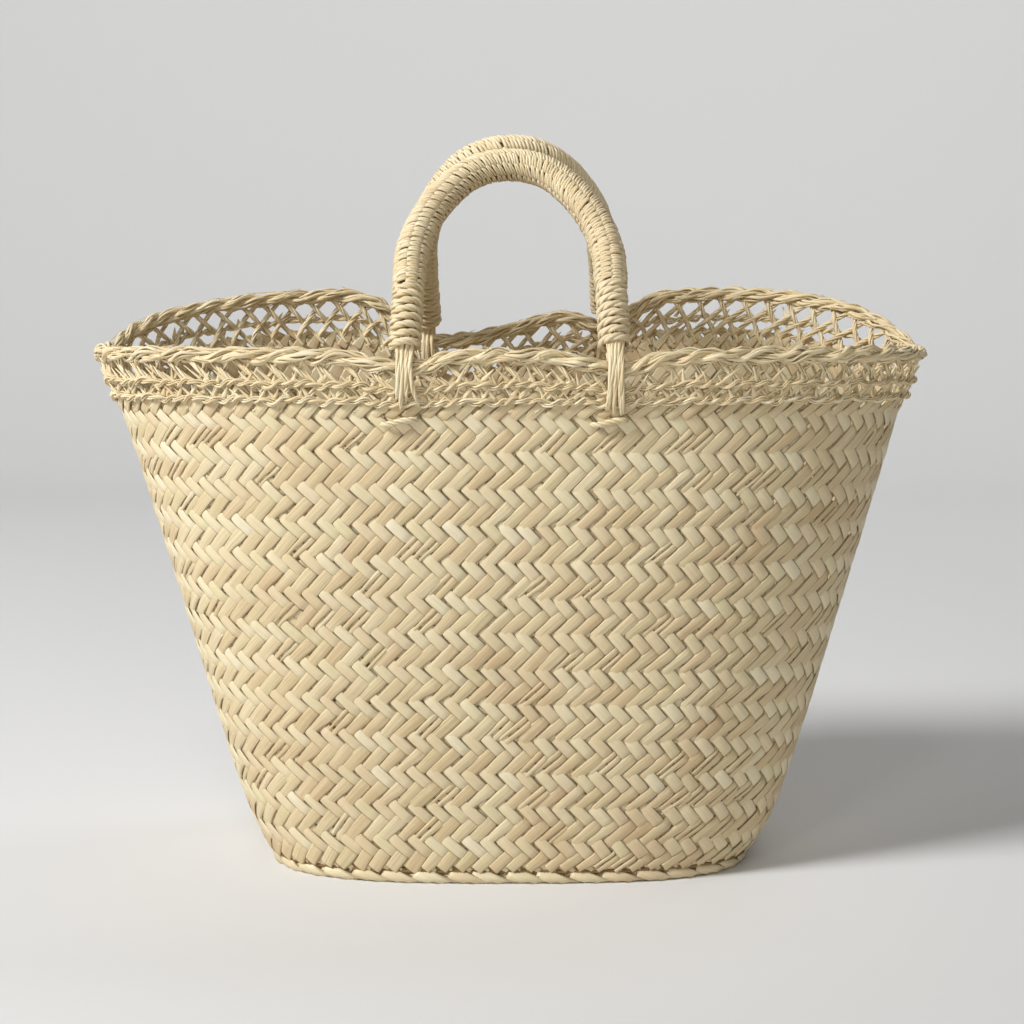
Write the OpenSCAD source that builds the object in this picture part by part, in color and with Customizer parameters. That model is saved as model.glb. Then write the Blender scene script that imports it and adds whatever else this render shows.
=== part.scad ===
// Woven palm-leaf market basket: a plaited oval body with an openwork border, a braided rim
// and two rope handles that swing on strand ties. The origin is the centre of the base, +Z is up,
// the front is at -Y and the handles stand over the long sides.

/* [Body] */
// Half the width of the base at the floor
base_reach = 141; // [136:1:144]
// Half the depth of the base at the floor
base_side = 85; // [80:1:86]
// How far the ends lean out for each millimetre of height
end_flare = 0.29; // [0.25:0.01:0.3]
// How far the long sides lean out for each millimetre of height
side_flare = 0.088; // [0.07:0.002:0.09]
// Height of the rolled hem under the plaited wall
hem_h = 7; // [6:0.5:9]
// Number of plaited courses sewn one above another
courses = 13; // [12:1:14]
// Height of one plaited course
course_h = 20.6; // [19:0.1:21]
// Thickness of the plaited wall
wall_t = 3; // [2.6:0.1:3.4]
// How far the courses climb towards the left end and fall towards the right end
course_tilt = 5; // [0:1:6]

/* [Border] */
// Half the width of the rim, to the middle of its braid
rim_reach = 243; // [241:1:246]
// Half the depth of the rim, to the middle of its braid
rim_side = 110; // [108:1:112]
// Radius of the braided rim
rim_r = 5; // [4.5:0.1:5.2]
// Height of the rim's top at the two ends
rim_top_ends = 308; // [304:1:310]
// How much higher the front of the rim stands
front_rise = 4; // [3:1:6]
// How much higher the back of the rim stands
back_rise = 36; // [32:1:38]
// Height of the openwork, from the wall's top to the rim's top
openwork_h = 36; // [34:1:38]
// Number of openwork strands leaning each way
strands = 80; // [64:2:84]
// Radius of an openwork strand
strand_r = 1.25; // [1:0.05:1.3]
// Radius of the two cords that bind the openwork
binding_r = 1.3; // [1:0.05:1.4]

/* [Handles] */
// Half the distance between a handle's feet
foot_reach = 57.7; // [57:0.1:58.5]
// Outward splay of a handle's legs
leg_splay = 1; // [0.5:0.1:1.5]
// Length of a handle's straight leg
leg_l = 60; // [58:0.5:61]
// Radius of the two shoulders of a handle's arch
shoulder_r = 110; // [108:1:114]
// Height of a handle's arch above its feet, to the middle of its rope
handle_rise = 144; // [143:0.5:144.5]
// Radius of the plaited sheath round a handle
handle_r = 9.6; // [9:0.1:9.8]
// Radius of the rope core inside a handle
core_r = 5.9; // [5:0.1:6.5]
// Length of the cord whipping at each foot
whipping_l = 44; // [30:1:55]
// How far a handle leans inward at rest
handle_lean = 43.6; // [43:0.1:43.8]
// Height of the front handle's swing axis
front_axis_h = 309.5; // [309:0.1:310]
// Height of the back handle's swing axis, midway between its feet
back_axis_h = 318.5; // [318:0.1:319]
// How much higher the back handle's right foot stands than its left
back_axis_rise = 7; // [6:0.1:8]
// How far the back handle sits to the right
back_shift = 4; // [3:0.5:5]

/* [Hidden] */
wall_top_h = hem_h + courses * course_h;
base_bulge_ends = 12.5;
base_bulge_sides = 1.5;
bulge_h = 16;
hump_sharpness = 3;
back_skew = 3.5;
middle_dip = 33;
middle_dip_at = 102.6;
middle_dip_before = 25;
middle_dip_after = 6.2;
front_foot_dip = 7.5;
front_foot_at = 76.3;
front_foot_width = 5;
back_foot_dip = 15.5;
back_foot_at = 75;
back_foot_width = 4.5;
tilt_start = 12;
tilt_end = 6;
wave_power = 4;
base_t = 3.2;
base_gap = 0.2;
base_squareness = 3.2;
rim_squareness = 2.4;
hem_inset = 0.5;
hem_t = 4;
hem_foot_t = 5;
seam_depth = 0.5;
crown = 0.3;
groove_depth = 1.5;
groove_share = 0.07;
cord_half = 0.6;
cord_mid = 2.35;
ring_steps = 48;
cord_steps = 64;
rim_steps = 160;
layer_gap = 1.6;
binding_gap = 4.7;
binding_lift = 2.5;
binding_low_share = 0.08;
binding_mid_share = 0.55;
strand_lean = 21;
strand_clear = 1.8;
strand_foot_clear = 2.4;
wrap_gap = 0.1;
foot_gap = 4.4;
core_foot_gap = 5.4;
piece_gap = 0.3;
joint_step = 0.02;
knuckle_r = 3.8;
knuckle_w = 7;
neck_r = 3.04;
neck_clear = 0.6;
saddle_in = 6.5;
saddle_out = 8.6;
saddle_w = 9;
tie_leg_l = 24;
anchor_l = 18;
anchor_r = 2;
anchor_drop = 5;
anchor_clear = 1.2;
handle_side = 108.6;
straw = "#E0D2AE";
pale_straw = "#EBDFC0";
tan_straw = "#CDB98C";
dark_straw = "#A8936A";

function course_name(i) = str("wall_course_", i < 10 ? "0" : "", i);
function cord_name(i) = str("seam_cord_", i < 10 ? "0" : "", i);

HANDLE_SIDES = ["front", "back"];
ENDS = ["left", "right"];

// The wall's outline is a squared oval that grows and rounds off with height.
function reach(h) = base_reach + base_bulge_ends * (1 - exp(-h / bulge_h)) + end_flare * h;
function side(h) = base_side + base_bulge_sides * (1 - exp(-h / bulge_h)) + side_flare * h;
function squareness(h) = base_squareness - (base_squareness - rim_squareness) * h / wall_top_h;
function signed_power(v, p) = sign(v) * pow(abs(v), p);
function oval(a, b, n, t) =
    let (k = pow(pow(abs(cos(t)), n) + pow(abs(sin(t)), n), -1 / n))
    [a * k * cos(t), b * k * sin(t)];
function oval_normal(a, b, n, t) =
    let (v = [signed_power(cos(t), n - 1) / a, signed_power(sin(t), n - 1) / b])
    v / norm(v);
function rim_oval(t) = oval(rim_reach, rim_side, rim_squareness, t);
function rim_normal(t) = oval_normal(rim_reach, rim_side, rim_squareness, t);
function between(from, to, share) = from + share * (to - from);

// Equal steps along the rim, from running sums of its length.
RIM_LENGTHS = [
    for (i = 0, sum = 0; i <= 180; sum = sum + norm(rim_oval(2 * i + 2) - rim_oval(2 * i)), i = i + 1)
        [sum, 2 * i]
];
rim_length = RIM_LENGTHS[180][0];
function angle_at(share) = lookup((share - floor(share)) * rim_length, RIM_LENGTHS);
function angles(count) = [for (i = [0:count - 1]) angle_at(i / count)];

// The rim rises at the back, dips between the back's two humps and dips at each handle's foot.
function bell(t, middle, before, after) =
    let (far = t - middle)
    exp(-pow(far / (far < 0 ? before : after), 2));
function turn(t) = t > 180 ? t - 360 : t;
function rim_base(t) =
    rim_top_ends
    + (sin(t) > 0 ? back_rise + back_skew * cos(t) : front_rise)
    * (1 - exp(-hump_sharpness * pow(sin(t), 2)))
    - middle_dip * bell(turn(t), middle_dip_at, middle_dip_before, middle_dip_after);
function even_bell(t, middle, width) = bell(turn(t), middle, width, width);
function rim_top(t) =
    rim_base(t) - back_foot_dip * even_bell(t, back_foot_at, back_foot_width)
    - front_foot_dip * even_bell(t, front_foot_at - 180, front_foot_width)
    - front_foot_dip * even_bell(t, -front_foot_at, front_foot_width);
function rim_mid(t) = rim_top(t) - rim_r;

// The courses follow the rim's waves near the top and lie flat near the base.
function wall_h(h, t) =
    let (w = (h - hem_h) / (wall_top_h - hem_h))
    h + (rim_base(t) - openwork_h - wall_top_h) * pow(w, wave_power)
    - course_tilt * cos(t) * (1 - exp(-tilt_start * w)) * (1 - pow(w, tilt_end));
function wall_point(h, depth, t) =
    let (p = oval(reach(h) - depth, side(h) - depth, squareness(h), t))
    [p.x, p.y, wall_h(h, t)];
function seam_h(i) = hem_h + i * course_h;

// Height of the wall's faceted top edge, at a share of the way round.
function ring_h(i) = wall_h(wall_top_h, angle_at(i / ring_steps));
function wall_top_at(share) =
    let (i = floor(share * ring_steps))
    between(ring_h(i), ring_h(i + 1), share * ring_steps - i);

// A closed band swept round the basket: rows are the corners of its cross-section.
module band(rows) {
    n = len(rows);
    m = len(rows[0]);
    points = [for (row = rows) each row];
    faces = [
        for (i = [0:n - 1], j = [0:m - 1])
            let (i2 = (i + 1) % n, j2 = (j + 1) % m)
            each [
                [i * m + j, i2 * m + j, i2 * m + j2],
                [i * m + j, i2 * m + j2, i * m + j2]
            ]
    ];
    polyhedron(points, faces, convexity = 6);
}

// The border's outline, at a share of the way up from the wall's top to the rim.
function border_oval(share, t) =
    oval(
        between(reach(wall_top_h) - wall_t / 2, rim_reach, share),
        between(side(wall_top_h) - wall_t / 2, rim_side, share),
        rim_squareness,
        t
    );

// A round cord along the border's outline, at a height above each of its points.
module round_cord(share, heights, ts, out, r, corners) {
    band([
        for (c = [0:corners - 1])
            let (around = 360 * c / corners)
            [
                for (i = [0:len(ts) - 1])
                    let (
                        p = border_oval(share, ts[i]),
                        q = rim_normal(ts[i]) * (out + r * cos(around))
                    )
                    [p.x + q.x, p.y + q.y, heights[i] + r * sin(around)]
            ]
    ]);
}

// A six-sided rod between two points.
module rod(from, to, r) {
    v = to - from;
    translate(from)
        rotate([0, acos(v.z / norm(v)), atan2(v.y, v.x)])
            cylinder(h = norm(v), r = r, $fn = 6);
}

module base_panel() {
    color(tan_straw)
        linear_extrude(base_t)
            polygon([
                for (t = angles(ring_steps))
                    oval(
                        base_reach - hem_foot_t - base_gap,
                        base_side - hem_foot_t - base_gap,
                        base_squareness,
                        t
                    )
            ]);
}

// The hem is the rolled edge between the base and the first course.
module base_hem() {
    hem_section = [
        [0, 0, hem_inset],
        [0.3 * hem_h, 0.3 * hem_h, hem_inset],
        [0.65 * hem_h, 0.65 * hem_h, hem_inset],
        [hem_h, hem_h, hem_inset],
        [hem_h, hem_h, hem_inset + hem_t],
        [0, base_t, hem_foot_t],
        [0, 0, hem_foot_t]
    ];
    color(tan_straw)
        band([
            for (s = hem_section)
                [
                    for (t = angles(ring_steps))
                        let (p = oval(reach(s[0]) - s[2], side(s[0]) - s[2], squareness(s[0]), t))
                        [p.x, p.y, s[1]]
                ]
        ]);
}

// Each course is crowned outside and bevelled inside, which leaves a groove for the sewing cord.
module wall_course(i) {
    section = [
        [0, seam_depth],
        [0.5, -crown],
        [1, seam_depth],
        [1, groove_depth],
        [1 - groove_share, wall_t],
        [groove_share, wall_t],
        [0, groove_depth]
    ];
    color(i % 2 == 0 ? straw : pale_straw)
        band([
            for (s = section)
                [for (t = angles(ring_steps)) wall_point(seam_h(i - 1 + s[0]), s[1], t)]
        ]);
}

module seam_cord(i) {
    section = [
        [0, cord_mid - cord_half],
        [cord_half, cord_mid],
        [0, cord_mid + cord_half],
        [-cord_half, cord_mid]
    ];
    color(dark_straw)
        band([
            for (s = section)
                [for (t = angles(ring_steps)) wall_point(seam_h(i) + s[0], s[1], t)]
        ]);
}

// Strands of one direction lie in one layer, those of the other direction in the next.
module openwork(lean, out) {
    color(pale_straw)
        for (i = [0:strands - 1]) {
            t0 = angle_at(i / strands);
            t1 = angle_at(i / strands + lean * strand_lean / rim_length);
            p = wall_point(wall_top_h, wall_t / 2 - out, t0);
            q = rim_oval(t1) + rim_normal(t1) * out;
            rod(
                [p.x, p.y, wall_top_at(i / strands) + strand_foot_clear],
                [q.x, q.y, rim_mid(t1) - rim_r - strand_clear],
                strand_r
            );
        }
}

module binding(share) {
    ts = angles(cord_steps);
    color(tan_straw)
        round_cord(
            share,
            [
                for (t = ts)
                    between(wall_h(wall_top_h, t) + binding_lift, rim_mid(t) - rim_r, share)
            ],
            ts,
            binding_gap,
            binding_r,
            6
        );
}

module rim_braid() {
    ts = angles(rim_steps);
    color(straw)
        round_cord(1, [for (t = ts) rim_mid(t)], ts, 0, rim_r, 10);
}

back_axis_slope = asin(back_axis_rise / (2 * foot_reach));

// Puts a handle, drawn upright between its feet, at its leaning place.
module at_front() {
    translate([0, -handle_side, front_axis_h])
        rotate([-handle_lean, 0, 0])
            children();
}

module at_back() {
    translate([back_shift, handle_side, back_axis_h])
        rotate([0, -back_axis_slope, 0])
            rotate([handle_lean, 0, 0])
                children();
}

// One leg's line, from its foot up: end is -1 on the left and 1 on the right.
module on_leg(end) {
    translate([end * foot_reach, 0, 0])
        rotate([0, -end * leg_splay, 0])
            children();
}

// The arch has three centres: two wide shoulders meet a tighter crown without a kink.
shoulder_x = shoulder_r * cos(leg_splay) - foot_reach + leg_l * sin(leg_splay);
shoulder_h = leg_l * cos(leg_splay) - shoulder_r * sin(leg_splay);
shoulder_end = 90 - 2 * atan((shoulder_h + shoulder_r - handle_rise) / shoulder_x);
crown_r = shoulder_r - shoulder_x / cos(shoulder_end);
crown_h = handle_rise - crown_r;

// A bent length of rope of radius r, about a centre at x, h, from one angle to another.
module bend(r, x, h, bend_r, from, to) {
    translate([x, 0, h])
        rotate([90, 0, 0])
            rotate([0, 0, from])
                rotate_extrude(angle = to - from, $fn = 96)
                    translate([bend_r, 0])
                        circle(r = r, $fn = 48);
}

// The legs and the crown are a hair thinner than the shoulders and reach a hair into them, so that
// they join as one.
module bent_rope(r, foot) {
    reach_in = 2 * joint_step;
    bend(r, -shoulder_x, shoulder_h, shoulder_r, leg_splay, shoulder_end);
    bend(r, shoulder_x, shoulder_h, shoulder_r, 180 - shoulder_end, 180 - leg_splay);
    overlap = atan(reach_in / crown_r);
    bend(r - joint_step, 0, crown_h, crown_r, shoulder_end - overlap, 180 - shoulder_end + overlap);
    for (end = [-1, 1])
        on_leg(end)
            translate([0, 0, foot])
                cylinder(h = leg_l - foot + reach_in, r = r - joint_step, $fn = 48);
}

module handle_core() {
    color(dark_straw)
        bent_rope(core_r, core_foot_gap);
}

module handle_sheath() {
    color(pale_straw)
        difference() {
            bent_rope(handle_r, foot_gap + whipping_l + piece_gap);
            bent_rope(core_r + wrap_gap, foot_gap);
        }
}

module whipping(end) {
    color(straw)
        on_leg(end)
            translate([0, 0, foot_gap])
                difference() {
                    cylinder(h = whipping_l, r = handle_r, $fn = 48);
                    translate([0, 0, -1])
                        cylinder(h = whipping_l + 2, r = core_r + wrap_gap, $fn = 48);
                }
}

// Height of the rim's middle under a handle's foot, at the foot's distance x from the centre.
function rim_under(x, back) =
    let (t = back ? acos(x / rim_reach) : -acos(x / rim_reach))
    rim_mid(t);

// A tie straddles the rim with strands down both faces. Its knuckle lies on the handle's swing axis.
module tie(x, y, rim_h, axis_h, axis_slope) {
    color(tan_straw)
        translate([x, y, rim_h]) {
            difference() {
                union() {
                    rotate([0, 90, 0])
                        cylinder(h = saddle_w, r = saddle_out, center = true, $fn = 48);
                    translate([-saddle_w / 2, -saddle_out, -tie_leg_l])
                        cube([saddle_w, 2 * saddle_out, tie_leg_l]);
                }
                rotate([0, 90, 0])
                    cylinder(h = saddle_w + 1, r = saddle_in, center = true, $fn = 48);
                translate([-saddle_w / 2 - 1, -saddle_in, -tie_leg_l - 1])
                    cube([saddle_w + 2, 2 * saddle_in, tie_leg_l + 1]);
            }
            translate([0, 0, saddle_in + neck_clear])
                cylinder(h = axis_h - rim_h - saddle_in - neck_clear, r = neck_r, $fn = 32);
            translate([0, 0, axis_h - rim_h])
                rotate([0, 90 - axis_slope, 0])
                    cylinder(h = knuckle_w, r = knuckle_r, center = true, $fn = 32);
        }
}

// A stitch lies across the foot of each tie, on the outside of the top course.
module anchor(x, back) {
    t = back ? acos(x / rim_reach) : -acos(x / rim_reach);
    h = wall_top_h - anchor_drop;
    p = wall_point(h, 0, t);
    color(tan_straw)
        translate([x - anchor_l / 2, p.y + (back ? 1 : -1) * (anchor_r + anchor_clear), p.z])
            rotate([0, 90, 0])
                cylinder(h = anchor_l, r = anchor_r, $fn = 24);
}

function is_back(name) = name == "back";
function foot_x(name, end) = (is_back(name) ? back_shift : 0) + end * foot_reach;
function foot_y(name) = (is_back(name) ? 1 : -1) * handle_side;
function axis_h(name, end) = is_back(name) ? back_axis_h + end * back_axis_rise / 2 : front_axis_h;
function end_sign(end) = end == "left" ? -1 : 1;

module at(name) {
    if (is_back(name))
        at_back() children();
    else
        at_front() children();
}

base_panel();
base_hem();
for (i = [1:courses]) wall_course(i);
for (i = [1:courses - 1]) seam_cord(i);
binding(binding_low_share);  // binding_low
binding(binding_mid_share);  // binding_mid
openwork(-1, layer_gap);  // openwork_left
openwork(1, -layer_gap);  // openwork_right
rim_braid();
for (s = HANDLE_SIDES) at(s) handle_core();
for (s = HANDLE_SIDES) at(s) handle_sheath();
for (s = HANDLE_SIDES, e = ENDS)
    at(s) whipping(end_sign(e));
for (s = HANDLE_SIDES, e = ENDS)
    tie(
            foot_x(s, end_sign(e)),
            foot_y(s),
            rim_under(foot_x(s, end_sign(e)), is_back(s)),
            axis_h(s, end_sign(e)),
            is_back(s) ? back_axis_slope : 0
        );
for (s = HANDLE_SIDES, e = ENDS)
    anchor(foot_x(s, end_sign(e)), is_back(s));
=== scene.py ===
import math

import bpy
import numpy as np
from bpy.props import FloatProperty, FloatVectorProperty, IntProperty, PointerProperty
from mathutils import Euler, Matrix, Vector


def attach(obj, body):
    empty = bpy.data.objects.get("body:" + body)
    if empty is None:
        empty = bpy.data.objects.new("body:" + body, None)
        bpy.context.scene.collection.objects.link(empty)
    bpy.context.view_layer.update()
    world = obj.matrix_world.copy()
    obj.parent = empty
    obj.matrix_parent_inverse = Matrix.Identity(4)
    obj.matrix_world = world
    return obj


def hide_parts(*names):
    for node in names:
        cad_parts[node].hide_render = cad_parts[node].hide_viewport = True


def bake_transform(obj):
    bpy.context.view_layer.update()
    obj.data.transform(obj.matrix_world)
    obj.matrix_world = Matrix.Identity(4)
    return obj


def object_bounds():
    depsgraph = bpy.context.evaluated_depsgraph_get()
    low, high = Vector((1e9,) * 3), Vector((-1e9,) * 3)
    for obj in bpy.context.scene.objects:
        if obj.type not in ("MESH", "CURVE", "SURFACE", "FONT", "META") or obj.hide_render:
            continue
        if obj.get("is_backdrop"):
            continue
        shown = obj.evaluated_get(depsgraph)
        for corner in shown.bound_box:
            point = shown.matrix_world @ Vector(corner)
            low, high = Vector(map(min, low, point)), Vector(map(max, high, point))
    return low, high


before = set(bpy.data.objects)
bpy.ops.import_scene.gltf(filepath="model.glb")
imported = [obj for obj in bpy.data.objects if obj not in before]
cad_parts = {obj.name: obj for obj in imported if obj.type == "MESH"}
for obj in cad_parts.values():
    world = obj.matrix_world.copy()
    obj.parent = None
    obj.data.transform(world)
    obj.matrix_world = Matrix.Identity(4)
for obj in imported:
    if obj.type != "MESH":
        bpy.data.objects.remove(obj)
CAD_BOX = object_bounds()

bl_info = {
    "name": "Woven market basket",
    "version": (1, 0, 0),
    "blender": (4, 5, 0),
    "location": "3D View > Sidebar > Basket",
    "description": "Plaits a palm-leaf market basket round its packed frame",
    "category": "Add Mesh",
}

MM = 0.001
LEVEL = np.array([1, 1, 0])
TURN = 2 * math.pi
FRONT = -math.pi / 2
LAP_STEPS, ROPE_STEPS = 2880, 420
LOTS = 1000

# Sizes of the part in millimetres, as in its source.
BASE_REACH, BASE_SIDE, BASE_INSET = 141.0, 85.0, 5.2
END_FLARE, SIDE_FLARE = 0.29, 0.088
BASE_BULGE_ENDS, BASE_BULGE_SIDES, BULGE_H = 12.5, 1.5, 16.0
BASE_SQUARENESS, RIM_SQUARENESS = 3.2, 2.4
HEM_H, COURSES, COURSE_H, WALL_T = 7.0, 13, 20.6, 3.0
WALL_TOP_H = HEM_H + COURSES * COURSE_H
COURSE_TILT, TILT_START, TILT_END, WAVE_POWER = 5.0, 12.0, 6, 4
RIM_REACH, RIM_SIDE, RIM_R, RIM_TOP_ENDS = 243.0, 110.0, 5.0, 308.0
FRONT_RISE, BACK_RISE, BACK_SKEW, HUMP_SHARPNESS = 4.0, 36.0, 3.5, 3.0
MIDDLE_DIP, MIDDLE_DIP_AT = 33.0, 102.6
MIDDLE_DIP_BEFORE, MIDDLE_DIP_AFTER = 25.0, 6.2
FRONT_FOOT_DIP, FRONT_FOOT_AT, FRONT_FOOT_WIDTH = 7.5, 76.3, 5.0
BACK_FOOT_DIP, BACK_FOOT_AT, BACK_FOOT_WIDTH = 15.5, 75.0, 4.5
OPENWORK_H, STRANDS, STRAND_LEAN = 36.0, 80, 21.0
BINDING_LIFT, BINDING_SHARES = 2.5, (0.08, 0.55)
FOOT_REACH, LEG_SPLAY, LEG_L = 57.7, math.radians(1), 60.0
SHOULDER_R, HANDLE_RISE = 110.0, 144.0
HANDLE_R, WHIPPING_L, FOOT_GAP = 9.6, 44.0, 4.4
HANDLE_LEAN, HANDLE_SIDE = math.radians(43.6), 108.6
FRONT_AXIS_H, BACK_AXIS_H, BACK_AXIS_RISE, BACK_SHIFT = 309.5, 318.5, 7.0, 4.0
ANCHOR_L, ANCHOR_DROP = 18.0, 5.0

# Sizes of details that only this script has, in millimetres.
HEM_PITCH, HEM_STRIP_L, HEM_STRIP_HALF = 18.5, 24, 4.6
ROLL_R, ROLL_H, ROLL_DEPTH = 3.1, 3.6, 2.9
GROOVE_H, GROOVE_DEPTH, SEAM_DEPTH = 6.9, 1.7, 2.6
PRONG_HEIGHTS, TIE_START = (9.0, 20.0), 5.0
# How far along a rope one turn of its fibres or plies goes.
SEAM_TURN_L, STRAND_TURN_L, BINDING_TURN_L, BINDING_FIBRE_TURN_L = 8, 24, 16, 14

# The camera's place in metres and its downward tilt in degrees.
CAMERA_AT, CAMERA_TILT = (0.0012, -1.210, 0.370), 7.72
# The key light's angles in degrees and its distance in metres, and the rim light's cone in degrees.
KEY_AZIMUTH, KEY_ELEVATION, KEY_DISTANCE, RIM_CONE = 61.5, 38, 3.4, 24
WHITE, CREAM = (1.0, 1.0, 1.0), (1.0, 0.975, 0.89)

SIX_ROUND = np.arange(6) * TURN / 6
# The corners of a flat strip's section: places across it, and above or below its middle.
STRIP_ACROSS = np.array([-1.0, -0.72, 0.0, 0.72, 1.0, 0.72, 0.0, -0.72])
STRIP_ABOVE = np.array([0.0, 0.85, 1.0, 0.85, 0.0, -0.85, -1.0, -0.85])


# ---------------------------------------------------------------- the basket's outline


def oval(a, b, n, t):
    c, s = np.cos(t), np.sin(t)
    k = (np.abs(c) ** n + np.abs(s) ** n) ** (-1 / n)
    return a * k * c, b * k * s


def oval_normal(a, b, n, t):
    c, s = np.cos(t), np.sin(t)
    x = np.sign(c) * np.abs(c) ** (n - 1) / a
    y = np.sign(s) * np.abs(s) ** (n - 1) / b
    size = np.hypot(x, y)
    return x / size, y / size


def rim_outward(t):
    """The level direction straight out of the rim."""
    nx, ny = oval_normal(RIM_REACH, RIM_SIDE, RIM_SQUARENESS, t)
    return np.stack([nx, ny, np.zeros_like(nx)], -1)


def reach(h):
    return BASE_REACH + BASE_BULGE_ENDS * (1 - np.exp(-h / BULGE_H)) + END_FLARE * h


def side(h):
    return BASE_SIDE + BASE_BULGE_SIDES * (1 - np.exp(-h / BULGE_H)) + SIDE_FLARE * h


def squareness(h):
    return BASE_SQUARENESS - (BASE_SQUARENESS - RIM_SQUARENESS) * h / WALL_TOP_H


def bell(t, middle, before, after):
    far = (np.degrees(t) - middle + 180) % 360 - 180
    return np.exp(-((far / np.where(far < 0, before, after)) ** 2))


def rim_base(t):
    rise = np.where(np.sin(t) > 0, BACK_RISE + BACK_SKEW * np.cos(t), FRONT_RISE)
    hump = rise * (1 - np.exp(-HUMP_SHARPNESS * np.sin(t) ** 2))
    dip = bell(t, MIDDLE_DIP_AT, MIDDLE_DIP_BEFORE, MIDDLE_DIP_AFTER)
    return RIM_TOP_ENDS + hump - MIDDLE_DIP * dip


def rim_mid(t):
    front = bell(t, -FRONT_FOOT_AT, FRONT_FOOT_WIDTH, FRONT_FOOT_WIDTH)
    front = front + bell(t, FRONT_FOOT_AT - 180, FRONT_FOOT_WIDTH, FRONT_FOOT_WIDTH)
    back = bell(t, BACK_FOOT_AT, BACK_FOOT_WIDTH, BACK_FOOT_WIDTH)
    return rim_base(t) - FRONT_FOOT_DIP * front - BACK_FOOT_DIP * back - RIM_R


def wall_h(h, t):
    w = np.clip((h - HEM_H) / (WALL_TOP_H - HEM_H), 0, None)
    wave = (rim_base(t) - OPENWORK_H - WALL_TOP_H) * w**WAVE_POWER
    tilt = COURSE_TILT * np.cos(t) * (1 - np.exp(-TILT_START * w)) * (1 - w**TILT_END)
    return h + wave - tilt


def wall_point(h, depth, t):
    x, y = oval(reach(h) - depth, side(h) - depth, squareness(h), t)
    return np.stack([x, y, wall_h(h, t)], -1)


def border_point(share, out, t):
    """A point of the openwork's outline, at a share of the way up to the rim's underside."""
    low_reach, low_side = reach(WALL_TOP_H) - WALL_T / 2, side(WALL_TOP_H) - WALL_T / 2
    a = low_reach + share * (RIM_REACH - low_reach)
    b = low_side + share * (RIM_SIDE - low_side)
    x, y = oval(a, b, RIM_SQUARENESS, t)
    low, high = wall_h(WALL_TOP_H, t), rim_mid(t) - RIM_R + 3
    place = np.stack(np.broadcast_arrays(x, y, low + share * (high - low)), -1)
    return place + np.asarray(out)[..., None] * rim_outward(t)


def rim_point(t):
    x, y = oval(RIM_REACH, RIM_SIDE, RIM_SQUARENESS, t)
    return np.stack([x, y, rim_mid(t)], -1)


class Lap:
    """One lap round the basket from the middle of the front, measured in millimetres."""

    def __init__(self, outline):
        self.angles = np.linspace(FRONT, FRONT + TURN, LAP_STEPS + 1)
        steps = np.linalg.norm(np.diff(outline(self.angles), axis=0), axis=-1)
        self.sums = np.concatenate([[0.0], np.cumsum(steps)])
        self.length = self.sums[-1]

    def angle(self, s):
        return np.interp(np.mod(s, self.length), self.sums, self.angles)


# ---------------------------------------------------------------- strips, cords and meshes


def strays(rng, spread, count):
    """A random difference for each strip or strand, because they are laid by hand."""
    return rng.normal(0, spread, (count, 1))


def leaf_lots(rng, count):
    """A number for each strip or strand, which picks its tone and its ribs."""
    return rng.uniform(0, LOTS, count)


def unit(v):
    return v / np.linalg.norm(v, axis=-1, keepdims=True)


class Bundle:
    """Gathers strips and cords, given as rings of points, and makes one mesh of them."""

    def __init__(self):
        self.points, self.leaf, self.loops, self.totals, self.slots = [], [], [], [], []
        self.count = 0

    def add(self, rings, along, across, seed, closed=False, slot=0):
        n, m, k = rings.shape[:3]
        index = np.arange(n * m * k).reshape(n, m, k)
        if closed:
            index = np.concatenate([index, index[:, :1]], 1)
        following = np.roll(index, -1, 2)
        quads = np.stack([index[:, :-1], following[:, :-1], following[:, 1:], index[:, 1:]], -1)
        flat = rings.reshape(-1, 3)
        a, b, c, d = (flat[quads[0, ..., i].ravel()] - flat[0] for i in range(4))
        volume = np.einsum("ij,ij->", a, np.cross(b, c)) + np.einsum("ij,ij->", a, np.cross(c, d))
        if volume < 0:
            quads = quads[..., ::-1]
        quads = quads.reshape(-1, 4) + self.count
        self.loops.append(quads.ravel())
        self.totals.append(np.full(len(quads), 4))
        if not closed:
            turn = 1 if volume > 0 else -1
            caps = np.concatenate([index[:, 0, ::-turn], index[:, -1, ::turn]]) + self.count
            self.loops.append(caps.ravel())
            self.totals.append(np.full(len(caps), k))
        made = sum(len(t) for t in self.totals) - sum(len(s) for s in self.slots)
        self.slots.append(np.full(made, slot))
        shape = (n, m, k)
        values = [np.broadcast_to(v, shape) for v in (along, across, seed)]
        self.leaf.append(np.stack(values, -1).reshape(-1, 3))
        self.points.append(flat)
        self.count += len(flat)

    def make(self, name, materials):
        points = np.concatenate(self.points) * MM
        loops, totals = np.concatenate(self.loops), np.concatenate(self.totals)
        mesh = bpy.data.meshes.new(name)
        mesh.vertices.add(len(points))
        mesh.vertices.foreach_set("co", points.astype(np.float32).ravel())
        mesh.loops.add(len(loops))
        mesh.loops.foreach_set("vertex_index", loops.astype(np.int32))
        mesh.polygons.add(len(totals))
        starts = np.concatenate([[0], np.cumsum(totals)[:-1]])
        mesh.polygons.foreach_set("loop_start", starts.astype(np.int32))
        mesh.polygons.foreach_set("use_smooth", np.ones(len(totals), bool))
        mesh.polygons.foreach_set("material_index", np.concatenate(self.slots).astype(np.int32))
        leaf = mesh.attributes.new("leaf", "FLOAT_VECTOR", "POINT")
        leaf.data.foreach_set("vector", np.concatenate(self.leaf).astype(np.float32).ravel())
        mesh.update(calc_edges=True)
        if mesh.validate():
            raise RuntimeError(f"{name} has faulty faces")
        for material in materials:
            mesh.materials.append(material)
        piece = bpy.data.objects.new(name, mesh)
        bpy.context.scene.collection.objects.link(piece)
        return piece


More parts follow.
